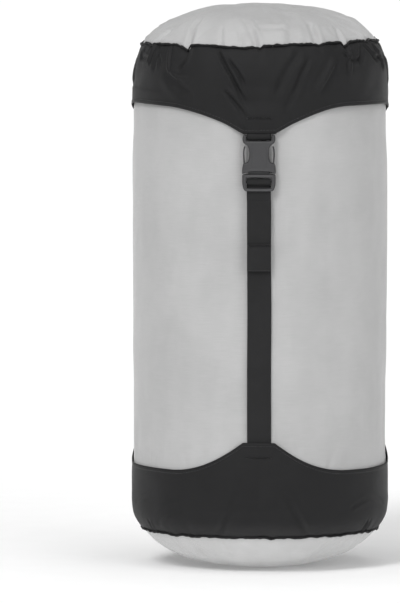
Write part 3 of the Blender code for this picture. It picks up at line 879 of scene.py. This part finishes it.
def bar(half, low, high, corner, back, front, rounding):
    """A plate across the buckle. Its half width, its heights and its round corners are in tenths of a mm."""
    inner = half - corner
    outline = [(-inner, low), (inner, low), (half, low + corner), (half, high - corner)]
    outline += [(inner, high), (-inner, high), (-half, high - corner), (-half, low + corner)]
    return plate([closed_outline(outline)], back, front, rounding)


def carve(obj, low, high):
    """Takes a box out of obj. Its corners are (x, distance from the axis, height over the buckle's edge)."""
    centre = [(a + b) / 2 for a, b in zip(low, high)]
    size = [b - a for a, b in zip(low, high)]
    shape = bmesh.new()
    where = Matrix.Translation((centre[0], -centre[1], centre[2] + BUCKLE_BOTTOM))
    bmesh.ops.create_cube(shape, size=1, matrix=where @ Matrix.Diagonal((*size, 1)))
    cutter = in_scene("cutter", shape_mesh("cutter", shape))
    configured(obj.modifiers.new("cut", "BOOLEAN"), operation="DIFFERENCE", object=cutter, solver="EXACT")
    cut = evaluated(obj)
    obj.modifiers.clear()
    obj.data = cut
    bpy.data.objects.remove(cutter)


def moulded(part, tag, meshes, body, material, node=None, cuts=()):
    """One moulded piece from closed meshes. Each cut is the corners of a box. tag starts with its station."""
    shape = bmesh.new()
    for mesh in meshes:
        shape.from_mesh(mesh)
    bmesh.ops.remove_doubles(shape, verts=shape.verts, dist=0.000002)
    bmesh.ops.recalc_face_normals(shape, faces=shape.faces)
    obj = add(f"{part}_{tag}", shape_mesh(part, shape), material)
    for low, high in cuts:
        carve(obj, low, high)
    to_station(obj, tag.split("_")[0])
    obj.data.shade_smooth()
    obj.data.set_sharp_from_angle(angle=SHARP_ANGLE)
    obj.modifiers.new("even_shading", "WEIGHTED_NORMAL").keep_sharp = True
    mount(obj, body, node and f"{node}_{tag}")


def buckle(place, material):
    """One side-release buckle: socket, ladder-lock plug, and the plug's two springy prongs."""
    middle, plug = SOCKET_MIDDLE, f"plug_{place}"
    shell = plate([closed_outline(mirrored(SOCKET_OUTLINE))], SOCKET_BACK, SOCKET_FRONT - 0.0002, 0.0014)
    mouth = ((-0.0128, middle - 0.0022, 0.010), (0.0128, middle + 0.0022, 0.0246))
    channel = ((-0.0064, middle - 0.0016, 0.010), (0.0064, middle + 0.0016, 0.0350))
    moulded("socket_shell", place, [shell], "lid", material, "buckle_socket", [mouth, channel])
    web_bar = bar(114, 436, 454, 7, 0.1078, 0.1095, 0.0006)
    moulded("socket_bar", place, [web_bar], "lid", material)
    panel = plate([closed_outline(mirrored(PANEL_OUTLINE))], SOCKET_FRONT - 0.0008, SOCKET_FRONT, 0.00024)
    moulded("socket_panel", place, [panel], "lid", material)

    outlines = [closed_outline(mirrored(FRAME_OUTLINE)), closed_outline(mirrored(FRAME_WINDOW), 1)]
    rim = plate(outlines, FRAME_BACK, FRAME_FRONT, 0.0013)
    slot = ((-0.0103, 0.1000, -0.005), (0.0103, 0.1108, 0.0031))
    moulded("plug_frame", place, [rim], plug, material, "buckle_plug", [slot])
    inside = [
        bar(112, 66, 90, 8, 0.1084, 0.1109, 0.0006),
        bar(90, 130, 205, 8, middle - 0.0018, middle + 0.0004, 0.0005),
        bar(58, 195, 330, 20, middle - 0.0012, middle + 0.0012, 0.0004),
    ]
    moulded("plug_bar", place, inside, plug, material)
    for side, sign in (("right", 1), ("left", -1)):
        outline = closed_outline([(sign * x, z) for x, z in PRONG_OUTLINE])
        arm = plate([outline], PRONG_BACK, PRONG_FRONT, 0.0004)
        tag = f"{place}_{side}"
        moulded("prong_arm", tag, [arm], f"prong_{tag}", material, "release_prong")


# Stage, lights and camera

# Azimuth from the front to the right, height, spread, all in degrees, and strength
SUNS = {
    "key_light": (-24, 40, 18, 1.45), "fill_light": (34, 25, 40, 0.62),
    "top_light": (0, 82, 60, 1.10), "table_light": (0, -84, 30, 1.50),
}
VIEW_HEIGHT, VIEW_DISTANCE = 0.50652, 9.0


def surroundings():
    """A white studio: bright low down, where its sweep is, and dimmer overhead."""
    world = bpy.data.worlds.new("studio")
    bpy.context.scene.world = world
    world.use_nodes = True
    sky = Nodes(world.node_tree)
    background = sky.tree.nodes["Background"].inputs
    height = sky.split(sky.node("ShaderNodeTexCoord").outputs["Generated"])[2]
    background["Color"].default_value = (1, 1, 1, 1)
    sky.feed(background["Strength"], sky.remap(height, 0.04, 0.30, 0.95, 0.34))


def studio():
    """Wide soft suns, and a pale floor that takes no shadow from itself."""
    bpy.context.scene.view_settings.view_transform = "Standard"
    surroundings()
    for name, (azimuth, elevation, spread, strength) in SUNS.items():
        light = configured(bpy.data.lights.new(name, "SUN"), energy=strength, angle=radians(spread))
        around, up = radians(azimuth), radians(elevation)
        towards = Vector((cos(up) * sin(around), -cos(up) * cos(around), sin(up)))
        in_scene(name, light).rotation_euler = towards.to_track_quat("Z", "Y").to_euler()
    shape = bmesh.new()
    bmesh.ops.create_grid(shape, x_segments=1, y_segments=1, size=40)
    floor = add("floor", shape_mesh("floor", shape), pale_floor())
    floor.visible_shadow = False


def camera():
    """Almost level with the bag, a little above it and far away, with the bag to the right of its middle."""
    elevation, azimuth = radians(4.6), radians(0.48)
    target = Vector((-0.0504, 0, 0.2209))
    data = configured(bpy.data.cameras.new("camera"), sensor_width=36, clip_end=200)
    data.lens = data.sensor_width * VIEW_DISTANCE / VIEW_HEIGHT
    obj = in_scene("camera", data)
    level, rise = VIEW_DISTANCE * cos(elevation), VIEW_DISTANCE * sin(elevation)
    obj.location = (level * sin(azimuth), -level * cos(azimuth), target.z + rise)
    obj.rotation_euler = (target - obj.location).to_track_quat("-Z", "Y").to_euler()
    bpy.context.scene.camera = obj


# Materials


class Nodes:
    """A node tree in the making, with arithmetic on its sockets."""

    def __init__(self, tree):
        self.tree = tree

    def node(self, kind, inputs=None, **settings):
        made = configured(self.tree.nodes.new(kind), **settings)
        for key, value in (inputs or {}).items():
            self.feed(made.inputs[key], value)
        return made

    def feed(self, socket, value):
        if isinstance(value, bpy.types.NodeSocket):
            self.tree.links.new(value, socket)
        else:
            socket.default_value = value

    def math(self, operation, a, b=0.0):
        return self.node("ShaderNodeMath", {0: a, 1: b}, operation=operation).outputs[0]

    def add(self, a, b):
        return self.math("ADD", a, b)

    def multiply(self, a, b):
        return self.math("MULTIPLY", a, b)

    def cloth_coordinates(self):
        return self.node("ShaderNodeUVMap", uv_map="cloth").outputs[0]

    def split(self, vector):
        return self.node("ShaderNodeSeparateXYZ", {0: vector}).outputs

    def place(self):
        return self.node("ShaderNodeTexCoord").outputs["Object"]

    def noise(self, vector, scale, detail=2.0, roughness=0.5):
        inputs = {"Vector": vector, "Scale": scale, "Detail": detail, "Roughness": roughness}
        return self.node("ShaderNodeTexNoise", inputs).outputs[0]

    def remap(self, value, low, high, to_low, to_high):
        inputs = {"Value": value, 1: low, 2: high, 3: to_low, 4: to_high}
        return self.node("ShaderNodeMapRange", inputs, interpolation_type="SMOOTHSTEP").outputs[0]

    def cloud(self, noise, low, high):
        """A noise spread from low to high."""
        return self.remap(noise, 0.3, 0.7, low, high)

    def wave(self, value, pitch):
        """A row of round ridges, 0 to 1, one for each pitch."""
        return self.math("ABSOLUTE", self.math("SINE", self.multiply(value, pi / pitch)))

    def weave(self, u, v, pitch):
        """A plain weave: each thread goes over one and under the next."""
        across, along = self.wave(u, pitch), self.wave(v, pitch)
        column, row = (self.math("FLOOR", self.math("DIVIDE", way, pitch)) for way in (u, v))
        over = self.math("PINGPONG", self.add(column, row), 1.0)
        return self.add(self.multiply(across, over), self.multiply(along, self.math("SUBTRACT", 1.0, over)))

    def bump(self, height, depth, below=None):
        inputs = {"Height": height, "Distance": depth, "Strength": 1.0}
        if below is not None:
            inputs["Normal"] = below
        return self.node("ShaderNodeBump", inputs).outputs[0]


class Finish(Nodes):
    """A procedural material in the making."""

    def __init__(self, name, roughness, specular=0.5, sheen=0.0, sheen_roughness=0.5):
        self.material = bpy.data.materials.new(name)
        self.material.use_nodes = True
        super().__init__(self.material.node_tree)
        self.inputs = self.tree.nodes["Principled BSDF"].inputs
        self.feed(self.inputs["Roughness"], roughness)
        self.feed(self.inputs["Specular IOR Level"], specular)
        self.feed(self.inputs["Sheen Weight"], sheen)
        self.feed(self.inputs["Sheen Roughness"], sheen_roughness)

    def colour(self, colour, value):
        """colour with its brightness multiplied by value."""
        inputs = {0: value, 6: (0.0, 0.0, 0.0, 1.0), 7: (*[2 * c for c in colour], 1.0)}
        mixed = self.node("ShaderNodeMix", inputs, data_type="RGBA", clamp_factor=False)
        self.feed(self.inputs["Base Color"], mixed.outputs[2])

    def finish(self, normal=None, roughness=None):
        for key, value in (("Normal", normal), ("Roughness", roughness)):
            if value is not None:
                self.feed(self.inputs[key], value)
        return self.material


def nylon(name, colour, roughness, specular, sheen, sheen_roughness, mottle, crinkle):
    """Thin woven nylon: its weave, faint crinkles from being packed, and uneven, pressed patches."""
    made = Finish(name, roughness, specular, sheen, sheen_roughness)
    uv = made.cloth_coordinates()
    u, v = made.split(uv)[:2]
    broad = made.noise(uv, 16.0, 2.0, 0.55)
    fine = made.noise(uv, 90.0, 3.0, 0.6)
    woven = made.weave(u, v, 0.00042)
    stretched = made.node("ShaderNodeMapping", {"Vector": uv, "Scale": (60.0, 1600.0, 1.0)}).outputs[0]
    slub = made.remap(made.noise(stretched, 1.0, 1.0), 0.25, 0.75, -0.012, 0.012)
    specks = made.add(slub, made.cloud(fine, -0.35 * mottle, 0.35 * mottle))
    tone = made.add(made.cloud(broad, 0.5 - mottle, 0.5 + mottle), specks)
    # Painted shade: where the weave's threads lie low, the colour drops to 0.90, against 1.02 on the raised
    # threads.
    made.colour(colour, made.multiply(tone, made.remap(woven, 0.0, 0.6, 0.90, 1.02)))
    normal = made.bump(made.noise(uv, 42.0, 3.0, 0.55), crinkle)
    normal = made.bump(fine, crinkle * 0.25, normal)
    normal = made.bump(woven, 0.00005, normal)
    return made.finish(normal, made.cloud(broad, roughness - 0.05, roughness + 0.05))


def herringbone(name, colour):
    """Polyester webbing: close ribs in zigzag rows, with a plain cord of selvedge down each side."""
    made = Finish(name, 0.68, 0.20, 0.06, 0.4)
    u = made.split(made.cloth_coordinates())[0]
    height = made.split(made.place())[2]
    zigzags = made.math("PINGPONG", made.add(u, 1.0), 0.0025)
    ribs = made.wave(made.add(height, made.multiply(zigzags, 0.55)), 0.0011)
    edge = made.remap(made.math("ABSOLUTE", u), 0.0088, 0.0091, 0.0, 1.0)
    middle = made.add(ribs, made.multiply(made.wave(u, 0.00062), 0.35))
    selvedge = made.multiply(made.wave(height, 0.0007), edge)
    relief = made.add(made.multiply(middle, made.math("SUBTRACT", 1.0, edge)), selvedge)
    worn = made.cloud(made.noise(made.place(), 60.0, 3.0, 0.6), 0.92, 1.08)
    # Painted shade: the grooves between the ribs and selvedge cords are darker than their tops, 0.36 to 0.56,
    # before the random tone.
    made.colour(colour, made.multiply(made.remap(relief, 0.0, 1.1, 0.36, 0.56), worn))
    return made.finish(made.bump(made.noise(made.place(), 2600.0, 1.0), 0.00004, made.bump(relief, 0.00016)))


def moulded_plastic(name, colour):
    """Satin acetal: a fine grain, and rounded edges darkened with painted shade and painted dark reflection.
    """
    made = Finish(name, 0.46, 0.34)
    where = made.place()
    cloud = made.cloud(made.noise(where, 140.0), 0.485, 0.515)
    edge = made.node("ShaderNodeNewGeometry").outputs["Pointiness"]
    # Painted shade and painted dark reflection: convex rounded edges, found by pointiness, are darkened by up
    # to 0.30 of the colour.
    made.colour(colour, made.add(cloud, made.remap(edge, 0.505, 0.56, 0.0, -0.30)))
    grain = made.bump(made.noise(where, 3200.0, 2.0, 0.6), 0.00002)
    return made.finish(grain, made.cloud(made.noise(where, 420.0, 3.0), 0.36, 0.50))


def twisted(name, colour, pitch, depth):
    """Thread or cord with a twist or braid that shows."""
    made = Finish(name, 0.55, 0.4, 0.3, 0.4)
    x, y, z = made.split(made.place())
    ridges = made.wave(made.add(made.add(x, y), z), pitch)
    crossing = made.wave(made.math("SUBTRACT", made.math("SUBTRACT", x, y), z), pitch)
    height = made.math("MAXIMUM", ridges, crossing)
    # Painted shade: the grooves between the twisted strands are darker than the ridges, 0.36 to 0.56.
    made.colour(colour, made.remap(height, 0.2, 1.0, 0.36, 0.56))
    return made.finish(made.bump(height, depth))


def steel(name):
    made = Finish(name, 0.28)
    made.inputs["Metallic"].default_value = 1.0
    drawn = made.noise(made.place(), 900.0, 3.0, 0.6)
    made.colour((0.56, 0.56, 0.58), made.cloud(drawn, 0.46, 0.54))
    return made.finish(made.bump(drawn, 0.00001), made.cloud(drawn, 0.22, 0.36))


def pale_floor():
    made = Finish("studio_floor", 0.9, 0.1)
    grain = made.noise(made.place(), 30.0, 3.0)
    made.colour((0.96, 0.96, 0.96), made.cloud(grain, 0.497, 0.503))
    return made.finish()


# Everything together


def soften(obj, rounding):
    """Smooth shading on a CAD node, with its edges rounded where it has sharp ones."""
    weld(obj)
    if rounding:
        configured(
            obj.modifiers.new("rounding", "BEVEL"), width=rounding, segments=3, limit_method="ANGLE",
            angle_limit=SHARP_ANGLE, harden_normals=False,
        )
    obj.data.shade_smooth()


def main():
    pale = nylon("pale_nylon", (0.410, 0.410, 0.410), 0.50, 0.30, 0.35, 0.28, 0.020, 0.00040)
    dark = nylon("dark_nylon", (0.0145, 0.0145, 0.0150), 0.52, 0.12, 0.015, 0.30, 0.035, 0.00025)
    web = herringbone("webbing", (0.0125, 0.0125, 0.0130))
    plastic = moulded_plastic("moulded_plastic", (0.043, 0.043, 0.045))
    thread = twisted("sewing_thread", (0.013, 0.013, 0.014), 0.0003, 0.00003)
    cord = twisted("braided_cord", (0.030, 0.030, 0.031), 0.0009, 0.00012)

    for name, obj in frame["nodes"].items():
        obj.data.materials.clear()
        obj.data.materials.append(cord if name in ("drawcord", "drawcord_knot") else plastic)
    for name in ("drawcord", "drawcord_knot", "cord_lock_body", "cord_lock_button"):
        soften(frame["nodes"][name], 0.00035 if "lock" in name else 0.0)
    lock_spring(steel("spring_steel"))

    for end in ("lid", "base"):
        mount(dome(end, pale), end, f"{end}_panel")
        mount(band(end, dark), end, f"{end}_band")
        mount(piping(end, dark), end, f"{end}_binding")
        mount(hem_stitches(end, thread), end)
        for place in STATIONS:
            mount(point_bartack(end, place, thread), end)
    tube(pale)
    mount(collar(pale), "mouth", "mouth_collar")
    mount(mouth_casing(dark), "mouth", "mouth_hem")
    for index, place in enumerate(STATIONS):
        strap(place, index, web, thread)
        loop(place, index, web)
        buckle(place, plastic)
    studio()
    camera()


main()
